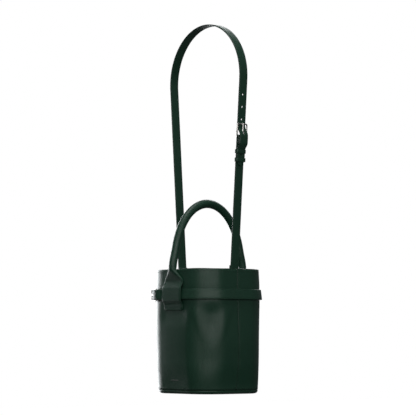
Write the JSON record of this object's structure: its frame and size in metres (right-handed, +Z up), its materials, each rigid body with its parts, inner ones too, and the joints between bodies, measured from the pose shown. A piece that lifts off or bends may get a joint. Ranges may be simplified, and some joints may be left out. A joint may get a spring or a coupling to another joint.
{
  "type": "bucket bag",
  "caption": "Structured bucket bag: rounded-rectangle body, belt round the mouth, rolled top handle, and a flat adjustable shoulder strap on snap hooks.",
  "frame": {"origin": "middle of the shoulder strap's underside at the top of its loop, where it rests on the shoulder", "axes": "+Z up along the bag's middle, front face towards -Y, +X to the wearer's strap-buckle side"},
  "size_m": [0.2022, 0.169, 0.6624],
  "materials": {
    "panel_leather": "smooth semi-gloss calf",
    "trim_leather": "smooth semi-gloss calf",
    "handle_leather": "smooth semi-gloss calf",
    "strap_leather": "smooth semi-gloss calf",
    "lining_suede": "napped microfibre",
    "stiffener": "bonded board",
    "rope": "twisted cord",
    "hardware": "polished plated"
  },
  "bodies": {
    "strap": {"strap_long": "strap_leather", "strap_short": "strap_leather", "strap_stud_left": "hardware", "strap_stud_right": "hardware", "strap_keeper_fixed": "trim_leather", "strap_buckle": "hardware", "hook_loop_left": "hardware", "hook_loop_right": "hardware"},
    "strap_prong": {"strap_prong": "hardware"},
    "strap_keeper": {"strap_keeper_loose": "trim_leather"},
    "hook_left": {"hook_body_left": "hardware", "gate_pin_left": "hardware"},
    "hook_right": {"hook_body_right": "hardware", "gate_pin_right": "hardware"},
    "gate_left": {"hook_gate_left": "hardware"},
    "gate_right": {"hook_gate_right": "hardware"},
    "bag": {"front_panel": "panel_leather", "back_panel": "panel_leather", "base_panel": "panel_leather", "base_board": "stiffener", "lining": "lining_suede", "facing": "trim_leather", "slip_pocket": "lining_suede", "snap_socket": "hardware", "snap_stud": "hardware", "front_tab": "panel_leather", "back_tab": "panel_leather", "belt": "trim_leather", "belt_buckle": "hardware", "ring_tab_left": "trim_leather", "ring_tab_right": "trim_leather"},
    "belt_prong": {"belt_prong": "hardware"},
    "ring_left": {"ring_left": "hardware"},
    "ring_right": {"ring_right": "hardware"},
    "handle": {"handle_cover": "handle_leather", "handle_core": "rope"}
  },
  "joints": [
    {"name": "strap_prong_tilt", "type": "hinge", "parent": "strap", "child": "strap_prong", "pos_m": [0.09389, 0, -0.20719], "axis": [0, 1, 0], "range_deg": [0, 8]},
    {"name": "keeper_slide", "type": "slide", "parent": "strap", "child": "strap_keeper", "axis": [0.0749, 0, 0.9972], "range_m": [-0.03, 0.007]},
    {"name": "hook_left_swivel", "type": "hinge", "parent": "strap", "child": "hook_left", "pos_m": [-0.069, 0, -0.47475], "axis": [0, 0, 1], "range_deg": [-22, 22]},
    {"name": "hook_right_swivel", "type": "hinge", "parent": "strap", "child": "hook_right", "pos_m": [0.069, 0, -0.47475], "axis": [0, 0, 1], "range_deg": [-22, 22]},
    {"name": "gate_left_open", "type": "hinge", "parent": "hook_left", "child": "gate_left", "pos_m": [-0.0621, 0, -0.47235], "axis": [0, 1, 0], "range_deg": [0, 24], "stiffness_Nm_per_rad": 0.01, "springref_deg": -11.46},
    {"name": "gate_right_open", "type": "hinge", "parent": "hook_right", "child": "gate_right", "pos_m": [0.0621, 0, -0.47235], "axis": [0, -1, 0], "range_deg": [0, 24], "stiffness_Nm_per_rad": 0.01, "springref_deg": -11.46},
    {"name": "bag_swing", "type": "hinge", "parent": "strap", "child": "bag", "pos_m": [0, 0, -0.50025], "axis": [1, 0, 0], "range_deg": [-25, 25]},
    {"name": "belt_prong_tilt", "type": "hinge", "parent": "bag", "child": "belt_prong", "pos_m": [-0.05148, -0.07777, -0.485], "axis": [0, 0, 1], "range_deg": [0, 8]},
    {"name": "ring_left_tilt", "type": "hinge", "parent": "bag", "child": "ring_left", "pos_m": [-0.069, 0, -0.50525], "axis": [0, 1, 0], "range_deg": [-4, 4]},
    {"name": "ring_right_tilt", "type": "hinge", "parent": "bag", "child": "ring_right", "pos_m": [0.069, 0, -0.50525], "axis": [0, 1, 0], "range_deg": [-4, 4]},
    {"name": "handle_lean", "type": "hinge", "parent": "bag", "child": "handle", "pos_m": [0, 0, -0.43205], "axis": [0, 1, 0], "range_deg": [-32, 32], "stiffness_Nm_per_rad": 0.15}
  ]
}
